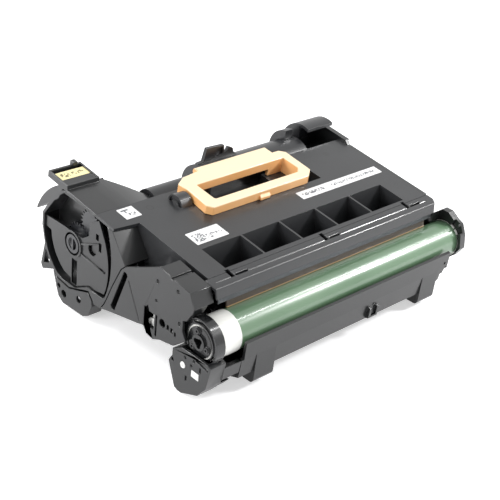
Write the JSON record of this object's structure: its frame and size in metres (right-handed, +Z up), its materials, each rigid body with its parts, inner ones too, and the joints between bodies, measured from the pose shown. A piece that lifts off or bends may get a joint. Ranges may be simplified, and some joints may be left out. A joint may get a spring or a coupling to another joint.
{
  "type": "printer drum unit",
  "caption": "Printer drum unit: a green photoconductor drum along the front of a sloped black housing, with gear drive, waste duct and a fold-up lift handle.",
  "frame": {"origin": "on the drum's axis, in the plane of the left end's outer face", "axes": "+X along the drum to the right end, +Y to the rear, +Z up"},
  "size_m": [0.272, 0.2054, 0.1086],
  "materials": {
    "housing_black": "satin",
    "cover_black": "satin",
    "bearing_black": "satin",
    "drum_coating": "gloss",
    "flange_white": "satin",
    "handle_cream": "satin",
    "gear_grey": "satin",
    "steel": "satin",
    "roller_rubber": "satin",
    "blade_rubber": "satin",
    "contact_plate": "polished",
    "label_white": "matte",
    "label_yellow": "matte",
    "duct_gloss": "gloss"
  },
  "bodies": {
    "frame": {"top_cover": "cover_black", "front_cover": "cover_black", "left_side_plate": "housing_black", "left_drum_bearing": "bearing_black", "drum_pin": "steel", "right_side_plate": "housing_black", "right_drum_bracket": "housing_black", "charge_bearing_left": "bearing_black", "charge_bearing_right": "bearing_black", "charge_spring_left": "steel", "charge_spring_right": "steel", "blade_bracket": "steel", "cleaning_blade": "blade_rubber", "drive_housing": "housing_black", "drive_cover": "gear_grey", "lower_rear_cover": "housing_black", "main_frame": "housing_black", "lower_guide": "housing_black", "contact_block": "housing_black", "memory_chip": "contact_plate", "round_contact": "contact_plate", "charge_terminal": "contact_plate", "rear_duct": "duct_gloss", "rear_right_cover": "duct_gloss", "handle_pin": "steel", "label_long": "label_white", "label_code": "label_white", "label_small": "label_white", "label_yellow": "label_yellow", "plate_screws": "steel"},
    "drum": {"drum_tube": "drum_coating", "drum_flange_left": "flange_white", "drum_coupling": "bearing_black", "drum_flange_right": "flange_white"},
    "charge_roller": {"charge_roller": "roller_rubber", "charge_shaft": "steel"},
    "idler": {"idler_gear": "gear_grey"},
    "cleaning_auger": {"cleaning_auger": "gear_grey", "cleaning_auger_gear": "gear_grey"},
    "drive_coupling": {"drive_coupling": "gear_grey"},
    "duct_auger": {"duct_auger": "gear_grey", "duct_auger_gear": "gear_grey"},
    "handle": {"handle": "handle_cream"}
  },
  "joints": [
    {"name": "drum_spin", "type": "hinge", "parent": "frame", "child": "drum", "pos_m": [0, 0, 0], "axis": [1, 0, 0], "continuous": true},
    {"name": "charge_roller_spin", "type": "hinge", "parent": "frame", "child": "charge_roller", "pos_m": [0, 0.02109, 0.00296], "axis": [1, 0, 0], "continuous": true},
    {"name": "idler_spin", "type": "hinge", "parent": "frame", "child": "idler", "pos_m": [0, 0.01465, 0.01361], "axis": [1, 0, 0], "continuous": true},
    {"name": "cleaning_auger_spin", "type": "hinge", "parent": "frame", "child": "cleaning_auger", "pos_m": [0, 0.013, 0.0255], "axis": [1, 0, 0], "continuous": true},
    {"name": "drive_coupling_spin", "type": "hinge", "parent": "frame", "child": "drive_coupling", "pos_m": [0, 0.13986, 0.01023], "axis": [1, 0, 0], "continuous": true},
    {"name": "duct_auger_spin", "type": "hinge", "parent": "frame", "child": "duct_auger", "pos_m": [0, 0.1275, 0.0308], "axis": [1, 0, 0], "continuous": true},
    {"name": "handle_lift", "type": "hinge", "parent": "frame", "child": "handle", "pos_m": [0.1335, 0.118, 0.0529], "axis": [-1, 0, 0], "range_deg": [0, 80]}
  ],
  "couplings": [
    {"joint": "charge_roller_spin", "follows": "drum_spin", "ratio": -2.5},
    {"joint": "idler_spin", "follows": "drum_spin", "ratio": -2.3333},
    {"joint": "cleaning_auger_spin", "follows": "drum_spin", "ratio": 2.3333},
    {"joint": "duct_auger_spin", "follows": "drive_coupling_spin", "ratio": -1.4}
  ]
}
